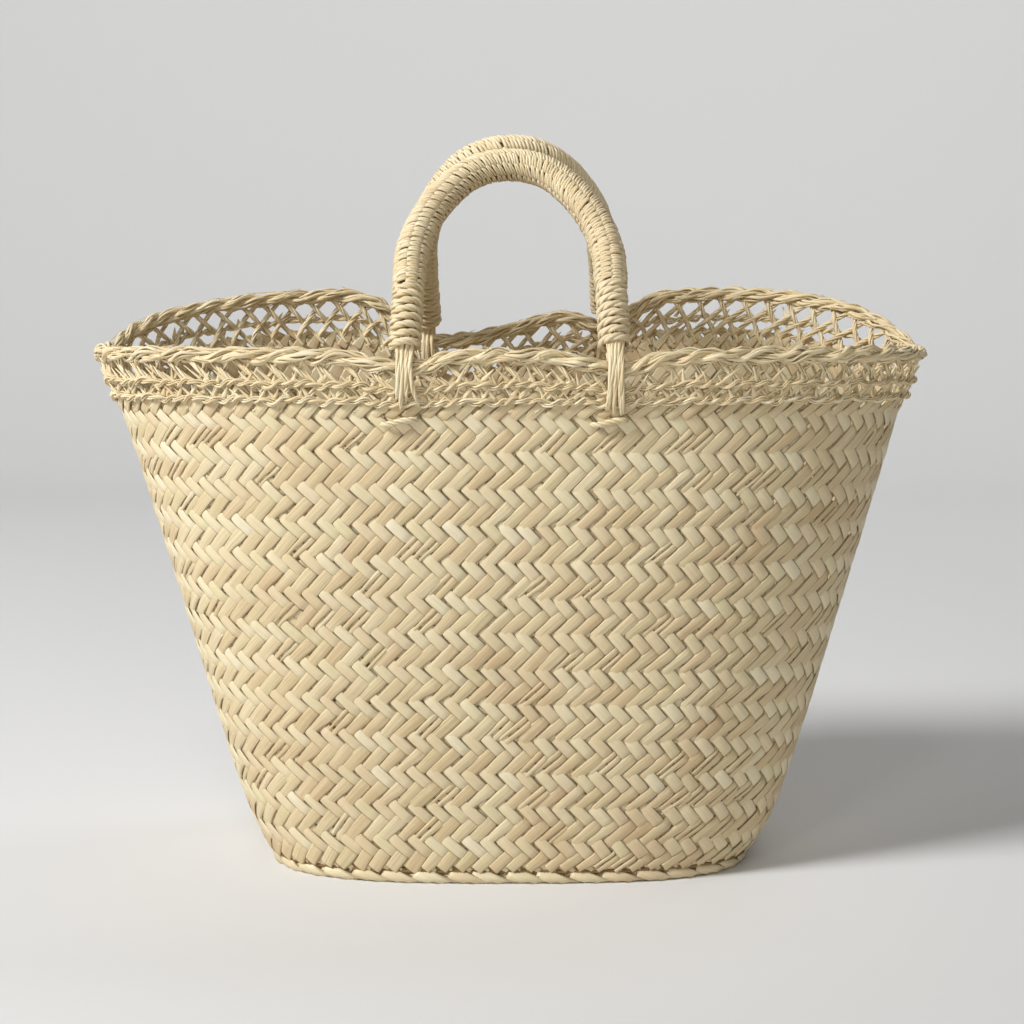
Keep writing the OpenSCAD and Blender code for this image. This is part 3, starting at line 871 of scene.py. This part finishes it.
class BASKET_OT_border(bpy.types.Operator):
    """Twists the openwork's strands and the two cords that bind them"""

    bl_idname = "basket.border"
    bl_label = "Openwork border"

    def execute(self, context):
        sizes = context.scene.basket_sizes
        lap = Lap(rim_point)
        pitch = lap.length / STRANDS
        crossings = 2 * STRAND_LEAN / pitch
        for name, lean, weave in (("left", -1, 1), ("right", 1, -1)):
            rng = np.random.default_rng(400 + lean)
            bundle = Bundle()
            w = np.linspace(0, 1, 26)
            k = np.arange(STRANDS)[:, None] + strays(rng, 0.06, STRANDS)
            s = k * pitch + lean * STRAND_LEAN * w
            if lean < 0:
                s = s + 9 * (1 - np.exp(-w * 6)) * (1 - w) * 1.4
            s = s + 1.3 * np.sin(w * 7 + rng.uniform(0, 6, (STRANDS, 1))) * w * (1 - w) * 2
            t = lap.angle(s)
            out = weave * 1.5 * np.cos(math.pi * crossings * w)
            out = out + strays(rng, 0.3, STRANDS) * w * (1 - w) * 4
            path = border_point(np.broadcast_to(w, s.shape), out, t)
            a, b = frames_along(path, rim_outward(t))
            taper = 1 - 0.12 * w
            # Four fibres leave the flat foot side by side, and twist into a round strand.
            turns = lengths_along(path) / STRAND_TURN_L
            orbit = np.broadcast_to(smooth_step(w, 0, 0.3), s.shape)
            for fibre in range(4):
                phase = fibre * TURN / 4 + rng.uniform(0, 0.8, (STRANDS, 1))
                line, away, round_it = twist_path(path, a, b, orbit, turns, phase)
                wide = 0.95 + 0.2 * strays(rng, 1, STRANDS).clip(-1, 1)
                sweep_cord(bundle, line, round_it, away, wide, wide * 0.7,
                           leaf_lots(rng, STRANDS), 6, taper=taper)

            def flat_leaf(x, y, out):
                return border_point(np.clip(y / OPENWORK_H, -0.3, 1), out, lap.angle(x))

            # Short leaf ends stick out where strands were tucked under the binding cords.
            prongs = 2 * STRANDS if lean < 0 else STRANDS
            f = np.linspace(0, 1, 6)
            for level_at in PRONG_HEIGHTS:
                at = np.arange(prongs)[:, None] * lap.length / prongs
                at = at + strays(rng, 1.6, prongs)
                length = rng.uniform(6, 11, (prongs, 1))
                slant = lean * rng.uniform(0.2, 0.9, (prongs, 1))
                x = at + length * slant * f
                y = level_at + strays(rng, 1.2, prongs) + length * f
                half = rng.uniform(1.0, 1.7, (prongs, 1)) * (1 - 0.85 * f**1.6)
                level = rng.uniform(1.4, 2.6, (prongs, 1))
                level = level + rng.uniform(-0.3, 1.8, (prongs, 1)) * f**2
                seed = leaf_lots(rng, prongs)
                # Fewer ends stand on the back.
                keep = np.sin(lap.angle(at[:, 0])) < 0.1
                keep = keep | (rng.uniform(0, 1, prongs) < 0.35)
                lay_strips(bundle, flat_leaf, x[keep], y[keep], level[keep], half[keep],
                           0.55, 0.4, seed[keep], 0)

            # Each strand has a flat foot, as wide as the leaf where it leaves the last course.
            feet = 2 * round(lap.length / sizes.strip_pitch / 2)
            k_foot = (np.arange(feet)[:, None] + strays(rng, 0.06, feet)) * lap.length / feet
            f = np.linspace(0, 1, 10)
            if lean < 0:
                tall = rng.uniform(14.5, 18.5, (feet, 1))
                x = k_foot + tall * f * rng.uniform(0.85, 1.0, (feet, 1))
                y = -4.6 + strays(rng, 0.5, feet) + tall * f
                half = (3.75 + strays(rng, 0.3, feet)) * (1 - 0.5 * f**5) * (1 - 0.12 * (1 - f))
                level = 1.7 - 1.9 * (1 - smooth_step(f, 0, 0.16)) - f**3
                level = level + strays(rng, 0.25, feet)
            else:
                tall = rng.uniform(9, 14, (feet, 1))
                x = k_foot + 3.5 - 0.7 * tall * f
                y = -3 + tall * f
                half = 3.6 * (1 - 0.7 * f**2) * (1 + strays(rng, 0.08, feet))
                level = -1.0 + 0.4 * f + np.zeros_like(k_foot)
            lay_strips(bundle, flat_leaf, x, y, level, half, 0.7, 0.25, leaf_lots(rng, feet), 1)
            piece = bundle.make(f"openwork_strands_{name}",
                                [finish(twisted_palm_strand), finish(split_palm_leaf_ribbed)])
            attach(piece, "basket")
            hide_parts(f"openwork_{name}")

        for name, share in zip(("low", "mid"), BINDING_SHARES):
            rng = np.random.default_rng(430 + len(name) + int(100 * share))
            bundle = Bundle()
            steps = 900
            s = np.arange(steps) * lap.length / steps
            t = lap.angle(s)
            wave = TURN * s / lap.length
            wander = 0.9 * np.sin(37 * wave) + 0.7 * np.sin(83 * wave + 1)
            wander = wander + (3.0 if name == "low" else 0.0)
            lift = (BINDING_LIFT + wander) / OPENWORK_H
            path = border_point(share * 0.85 + lift, 2.6 + 0.5 * np.sin(59 * wave), t)[None]
            a, b = frames_along(path, rim_outward(t)[None], closed=True)
            turns = whole_turns(lap.length, BINDING_TURN_L, steps)
            turns = (turns + 0.09 * np.sin(31 * wave))[None]
            inner = whole_turns(lap.length, BINDING_FIBRE_TURN_L, steps)[None]
            for ply in range(2):
                orbit = 1.25 * (1 + 0.25 * np.sin(47 * wave + 3 * ply))[None]
                line, away, round_it = twist_path(path, a, b, orbit, -turns, ply * math.pi)
                twist_rope(bundle, line, away, round_it, 0.75, 0.75, 3, inner, rng, 5, True,
                           flat=0.7)
            piece = bundle.make(f"binding_rope_{name}", [finish(twisted_palm_strand)])
            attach(piece, "basket")
            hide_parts(f"binding_{name}")
        return {"FINISHED"}


class BASKET_OT_rim(bpy.types.Operator):
    """Lays the rim's rope of three plies"""

    bl_idname = "basket.rim"
    bl_label = "Rim rope"

    def execute(self, context):
        sizes = context.scene.basket_sizes
        rng = np.random.default_rng(500)
        lap = Lap(rim_point)
        steps = 1100
        share = np.arange(steps) / steps
        t = lap.angle(share * lap.length)
        path = rim_point(t)[None]
        a, b = frames_along(path, rim_outward(t)[None], closed=True)
        bundle = Bundle()
        for ply in range(3):
            # Neither the size of a ply nor its twist is even.
            swell = 1 + 0.1 * np.sin(TURN * 31 * share + ply)
            swell = swell + 0.08 * np.sin(TURN * 53 * share + 2 * ply)
            phase = ply * TURN / 3 + 0.32 * np.sin(TURN * 17 * share + 2 * ply)
            phase = phase + 0.15 * np.sin(TURN * 41 * share)
            line, away, round_it = twist_path(
                path, a, b, (2.6 * swell)[None], -(share * sizes.rim_turns)[None], phase[None])
            for fibre in range(7):
                waves = rng.integers(20, 90, 3)
                starts = rng.uniform(0, TURN, 3)
                ripple = sum(np.sin(TURN * n * share + c) for n, c in zip(waves, starts)) / 3
                orbit = (1.75 if fibre else 0.4) * swell * (1 + 0.3 * ripple)
                turns = share * 34 + 0.06 * np.sin(TURN * waves[0] * share)
                strand, out, beside = twist_path(line, away, round_it, orbit[None], turns[None],
                                                 fibre * TURN / 6 + starts[0] / 8)
                wide = (1.05 + 0.25 * np.sin(TURN * waves[1] * share + starts[1]))[None]
                sweep_cord(bundle, strand, beside, out, wide, wide * 0.62, leaf_lots(rng, 1),
                           6, True)
        # Loose leaf ends stand a little off the rope.
        ends = 260
        at = rng.uniform(0, lap.length, (ends, 1))
        f = np.linspace(0, 1, 8)
        t = lap.angle(at + rng.uniform(-1, 1, (ends, 1)) * 16 * f)
        outward = rim_outward(t)
        round_rim = rng.uniform(-0.6, 2.6, (ends, 1)) + rng.uniform(-1, 1, (ends, 1)) * f
        off = 4.6 + rng.uniform(0.2, 1.6, (ends, 1)) * f**2
        loose = rim_point(t) + (off * np.cos(round_rim))[..., None] * outward
        loose[..., 2] += off * np.sin(round_rim)
        a_loose, b_loose = frames_along(loose, outward)
        sweep_cord(bundle, loose, a_loose, b_loose, rng.uniform(0.3, 0.55, (ends, 1)),
                   rng.uniform(0.2, 0.35, (ends, 1)), leaf_lots(rng, ends), 4, taper=1 - 0.7 * f)
        piece = bundle.make("rim_rope", [finish(twisted_palm_strand)])
        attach(piece, "basket")
        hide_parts("rim_braid")
        return {"FINISHED"}


SHOULDER_X = SHOULDER_R * math.cos(LEG_SPLAY) - FOOT_REACH + LEG_L * math.sin(LEG_SPLAY)
SHOULDER_H = LEG_L * math.cos(LEG_SPLAY) - SHOULDER_R * math.sin(LEG_SPLAY)
SHOULDER_END = math.pi / 2 - 2 * math.atan((SHOULDER_H + SHOULDER_R - HANDLE_RISE) / SHOULDER_X)
CROWN_R = SHOULDER_R - SHOULDER_X / math.cos(SHOULDER_END)
CROWN_H = HANDLE_RISE - CROWN_R
SHOULDER_L = SHOULDER_R * (SHOULDER_END - LEG_SPLAY)
CROWN_L = CROWN_R * (math.pi - 2 * SHOULDER_END)
HANDLE_L = 2 * (LEG_L + SHOULDER_L) + CROWN_L
BACK_SLOPE = math.asin(BACK_AXIS_RISE / (2 * FOOT_REACH))

HANDLES = {
    "front": Matrix.Translation((0, -HANDLE_SIDE, FRONT_AXIS_H))
    @ Matrix.Rotation(-HANDLE_LEAN, 4, "X"),
    "back": Matrix.Translation((BACK_SHIFT, HANDLE_SIDE, BACK_AXIS_H))
    @ Matrix.Rotation(-BACK_SLOPE, 4, "Y")
    @ Matrix.Rotation(HANDLE_LEAN, 4, "X"),
}


def handle_line(s):
    """Places and outward directions along an upright handle, from its left to its right foot."""
    sign = np.where(s > HANDLE_L / 2, 1.0, -1.0)
    far = np.minimum(s, HANDLE_L - s)
    on_leg, on_crown = far < LEG_L, far > LEG_L + SHOULDER_L
    shoulder = LEG_SPLAY + (far - LEG_L) / SHOULDER_R
    crown = SHOULDER_END + (far - LEG_L - SHOULDER_L) / CROWN_R
    angle = np.where(on_leg, LEG_SPLAY, np.where(on_crown, crown, shoulder))
    x = np.where(on_crown, CROWN_R * np.cos(angle), SHOULDER_R * np.cos(angle) - SHOULDER_X)
    x = np.where(on_leg, FOOT_REACH - far * math.sin(LEG_SPLAY), x)
    crown_z = CROWN_H + CROWN_R * np.sin(angle)
    shoulder_z = SHOULDER_H + SHOULDER_R * np.sin(angle)
    z = np.where(on_leg, far * math.cos(LEG_SPLAY), np.where(on_crown, crown_z, shoulder_z))
    zero = np.zeros_like(x)
    outward = np.stack([sign * np.cos(angle), zero, np.sin(angle)], -1)
    return np.stack([sign * x, zero, z], -1), outward


def handle_surface(name):
    """Turns distances along a handle, angles round it and radii into places."""
    place = np.array(HANDLES[name])

    def surface(s, angle, r):
        centre, outward = handle_line(s)
        aside = np.array([0.0, -1.0, 0.0])
        away = np.cos(angle)[..., None] * outward + np.sin(angle)[..., None] * aside
        local = centre + r[..., None] * away
        return local @ place[:3, :3].T + place[:3, 3]

    return surface


def tubes(surface, s, angle, r, wide, high):
    """Rings round lines on a handle, with half sizes wide along it and high out from it."""
    s_ring = s[..., None] + wide * np.cos(SIX_ROUND)
    r_ring = r[..., None] + high * np.sin(SIX_ROUND)
    return surface(s_ring, np.broadcast_to(angle[..., None], s_ring.shape), r_ring)


class BASKET_OT_handles(bpy.types.Operator):
    """Plaits the handles' sheaths, winds their whippings and finishes their cores"""

    bl_idname = "basket.handles"
    bl_label = "Handles"

    def execute(self, context):
        sizes = context.scene.basket_sizes
        for number, name in enumerate(HANDLES):
            surface = handle_surface(name)
            body = f"{name}_handle"
            rng = np.random.default_rng(600 + number)

            # The plait is eight columns of short strokes, each of two strands.
            columns = 8
            start, end = FOOT_GAP + WHIPPING_L - 3, HANDLE_L - FOOT_GAP - WHIPPING_L + 3
            rows = round((end - start) / sizes.stroke_pitch)
            pitch = (end - start) / rows
            radius = HANDLE_R - 1.15
            bundle = Bundle()
            f = np.linspace(-1, 1, 11)
            for column in range(columns):
                row = np.arange(rows)[:, None] + 0.5 * (column % 2) + strays(rng, 0.05, rows)
                middle = column * TURN / columns + strays(rng, 0.02, rows) + 0.3
                swing = TURN / columns * 0.68
                # The strokes lie square to the rope near the feet and slant over the arch.
                from_end = np.minimum(row * pitch, end - start - row * pitch).clip(0)
                slant = 0.3 + smooth_step(from_end, 15, 75)
                s_line = start + row * pitch + f * slant * (2.1 if column % 2 else 1.2)
                angle = middle + swing * f
                near_end = np.exp(-from_end / 6)
                r_line = radius + 0.4 - 1.9 * f**4 - 0.75 * near_end
                width = 0.86 * (1 - 0.5 * f**2) * (1 + strays(rng, 0.08, rows))
                along = (f * swing * radius)[None, :, None]
                for strand in (-1, 1):
                    twist = 0.3 * strand * np.sin(1.5 * f + rng.uniform(-0.6, 0.6, (rows, 1)))
                    lift = strays(rng, 0.15, rows)
                    rings = tubes(surface, s_line + strand * width + twist, angle, r_line + lift,
                                  0.95, 0.95)
                    lots = leaf_lots(rng, rows)[:, None, None]
                    bundle.add(rings, along, SIX_ROUND * 0.9, lots)
            piece = bundle.make(f"{name}_handle_plait", [finish(wrapped_palm_cord)])
            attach(piece, body)
            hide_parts(f"{name}_handle_sheath")

            for end_name in ("left", "right"):
                bundle = Bundle()
                turns = round(WHIPPING_L / sizes.cord_pitch)
                steps = turns * 28
                share = np.linspace(0, 1, steps)
                cord_r = WHIPPING_L / turns / 2
                angle = share * (turns - 1) * TURN * (1 if end_name == "left" else -1)
                outer = np.sin(angle) * (1 if name == "front" else -1)
                s_line = FOOT_GAP - 2 + cord_r + share * (WHIPPING_L + 2 - 2 * cord_r)
                s_line = s_line - 2.6 * (1 + outer) * (1 - share) ** 2
                if end_name == "right":
                    s_line = HANDLE_L - s_line
                wobble = 0.12 * np.sin(angle * 0.37 + number) + 0.1 * np.sin(angle * 2.3)
                for i in range(3):
                    twist = TURN * i / 3 + np.cumsum(np.full(steps, TURN * 60 / steps / 3))
                    s_fibre = s_line + 1.05 * np.cos(twist) + wobble
                    r_fibre = HANDLE_R - 2.35 + 0.95 * np.sin(twist)
                    rings = tubes(surface, s_fibre, angle, r_fibre, 1.35, 1.25)[None]
                    along = (np.abs(angle) * HANDLE_R)[None, :, None]
                    bundle.add(rings, along, SIX_ROUND * 1.3, leaf_lots(rng, 1)[:, None, None])
                piece = bundle.make(f"{name}_whipping_cord_{end_name}", [finish(wrapped_palm_cord)])
                axis, _ = foot_place(name, -1 if end_name == "left" else 1)
                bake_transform(piece)
                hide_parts(f"{name}_whipping_{end_name}")

            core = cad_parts[f"{name}_handle_core"]
            core.data.materials.clear()
            core.data.materials.append(finish(rope_core_and_painted_shade))
        return {"FINISHED"}


def foot_place(name, end_sign):
    """The middle of a handle's foot, and the rim's angle under it."""
    back = name == "back"
    sign = 1 if back else -1
    x = (BACK_SHIFT if back else 0) + end_sign * FOOT_REACH
    h = BACK_AXIS_H + end_sign * BACK_AXIS_RISE / 2 if back else FRONT_AXIS_H
    return np.array([x, sign * HANDLE_SIDE, h]), sign * math.acos(x / RIM_REACH)


def up(h):
    return np.array([0, 0, h])


class BASKET_OT_ties(bpy.types.Operator):
    """Leads strands from each handle's foot over the rim, and stitches them down"""

    bl_idname = "basket.ties"
    bl_label = "Ties and stitches"

    def execute(self, context):
        for number, (name, end_name) in enumerate(
            (n, e) for n in HANDLES for e in ("left", "right")
        ):
            rng = np.random.default_rng(700 + number)
            end_sign = -1 if end_name == "left" else 1
            axis, t = foot_place(name, end_sign)
            rim = np.array([axis[0], axis[1], float(rim_mid(t))])
            outward = np.array([0.0, 1.0 if name == "back" else -1.0, 0.0])
            surface = handle_surface(name)
            bundle = Bundle()
            outer_strands = 5 if end_name == "right" else 4
            reach_s = FOOT_GAP + TIE_START
            s0 = np.array(reach_s if end_sign < 0 else HANDLE_L - reach_s)
            for i in range(outer_strands + 3):
                outside = i < outer_strands
                spread = 2 * i / (outer_strands - 1) - 1 if outside else i - outer_strands - 1.0
                face = 1.0 if outside else -1.0
                side_on = face if name == "front" else -face
                around = spread * 0.8 * -side_on * end_sign + side_on * math.pi / 2
                top = surface(s0, np.array(around), np.array(6.0))
                side_step = np.array([spread * 3.1 + rng.uniform(-0.4, 0.4), 0, 0])
                over = rim + side_step + outward * face * 4.2 + up(6.0)
                beside = rim + side_step + outward * face * 7.2 + up(-0.5)
                drift = np.array([rng.uniform(-1.2, 1.2) - 0.8 * end_sign, 0, 0])
                low = rim + side_step * 1.15 + drift + outward * face * 6.2 + up(-12.0)
                foot = rim + side_step * 1.5 + drift * 2 + outward * face * 3.0
                foot = foot + up(-21.0 - 2.5 * end_sign + rng.uniform(-4, 3))
                neck = (top + over) / 2 + outward * face * 0.8
                knots = np.array([top, neck, over, beside, low, foot])
                path = smooth_line(knots, 26)[None]
                away = np.broadcast_to(outward * face, path.shape) + up(0.01)
                a, b = frames_along(path, away)
                taper = np.interp(np.linspace(0, 1, 26), [0, 0.1, 0.85, 1], [0.7, 1, 1, 0.4])
                turns = lengths_along(path) / rng.uniform(28, 60)
                twist_rope(bundle, path, a, b, 0.75, 1.05, 3, turns, rng, taper=taper, flat=0.7)
            piece = bundle.make(f"{name}_tie_strands_{end_name}", [finish(twisted_palm_strand)])
            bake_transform(piece)
            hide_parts(f"{name}_tie_{end_name}")

            h = WALL_TOP_H - ANCHOR_DROP
            base = wall_point(np.array(h), np.array(0.0), np.array(t))
            bundle = Bundle()
            f = np.linspace(-1, 1, 20)
            x = axis[0] - 3 + f * ANCHOR_L * 0.56
            y = np.full_like(f, base[1]) + outward[1] * (2.6 - 2.2 * f**4)
            z = base[2] + 1.2 * f + 0.5 * np.sin(3 * f)
            path = np.stack([x, y, z], -1)[None]
            a, b = frames_along(path, np.broadcast_to(outward, path.shape))
            turns = lengths_along(path) / 13
            twist_rope(bundle, path, a, b, 1.05, 1.2, 3, turns, rng, taper=1 - 0.35 * f**4)
            piece = bundle.make(f"{name}_stitch_{end_name}", [finish(twisted_palm_strand)])
            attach(piece, "basket")
            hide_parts(f"{name}_anchor_{end_name}")
        return {"FINISHED"}


def smooth_line(knots, count):
    """A smooth line through knots, as evenly spaced points."""
    padded = np.concatenate([[2 * knots[0] - knots[1]], knots, [2 * knots[-1] - knots[-2]]])
    fine = []
    for i in range(len(knots) - 1):
        p0, p1, p2, p3 = padded[i : i + 4]
        u = np.linspace(0, 1, 20, endpoint=i == len(knots) - 2)[:, None]
        fine.append(0.5 * (2 * p1 + (p2 - p0) * u + (2 * p0 - 5 * p1 + 4 * p2 - p3) * u**2
                           + (3 * p1 - p0 - 3 * p2 + p3) * u**3))
    fine = np.concatenate(fine)
    sums = np.concatenate([[0], np.cumsum(np.linalg.norm(np.diff(fine, axis=0), axis=1))])
    even = np.linspace(0, sums[-1], count)
    return np.stack([np.interp(even, sums, fine[:, i]) for i in range(3)], -1)


OPERATORS = (
    BASKET_OT_stage,
    BASKET_OT_base,
    BASKET_OT_wall,
    BASKET_OT_seams,
    BASKET_OT_border,
    BASKET_OT_rim,
    BASKET_OT_handles,
    BASKET_OT_ties,
)


class BASKET_PT_panel(bpy.types.Panel):
    """Lists the basket's settings and pieces"""

    bl_idname = "BASKET_PT_panel"
    bl_label = "Woven market basket"
    bl_space_type = "VIEW_3D"
    bl_region_type = "UI"
    bl_category = "Basket"

    def draw(self, context):
        for group in ("basket_sizes", "basket_colours", "basket_studio"):
            settings = getattr(context.scene, group)
            for name in settings.__annotations__:
                self.layout.prop(settings, name)
        for operator in OPERATORS:
            self.layout.operator(operator.bl_idname)


GROUPS = {
    "basket_sizes": BasketSizes,
    "basket_colours": BasketColours,
    "basket_studio": BasketStudio,
}


def register():
    for name, group in GROUPS.items():
        bpy.utils.register_class(group)
        setattr(bpy.types.Scene, name, PointerProperty(type=group))
    for cls in (*OPERATORS, BASKET_PT_panel):
        bpy.utils.register_class(cls)


def unregister():
    for cls in (BASKET_PT_panel, *reversed(OPERATORS)):
        bpy.utils.unregister_class(cls)
    for name, group in GROUPS.items():
        delattr(bpy.types.Scene, name)
        bpy.utils.unregister_class(group)


def main():
    register()
    bpy.ops.basket.stage()
    bpy.ops.basket.base()
    bpy.ops.basket.wall()
    bpy.ops.basket.seams()
    bpy.ops.basket.border()
    bpy.ops.basket.rim()
    bpy.ops.basket.handles()
    bpy.ops.basket.ties()
    boxes = {"cad": CAD_BOX, "visual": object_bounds()}
    {name: [list(corner) for corner in box] for name, box in boxes.items()}


if __name__ == "__main__":
    main()
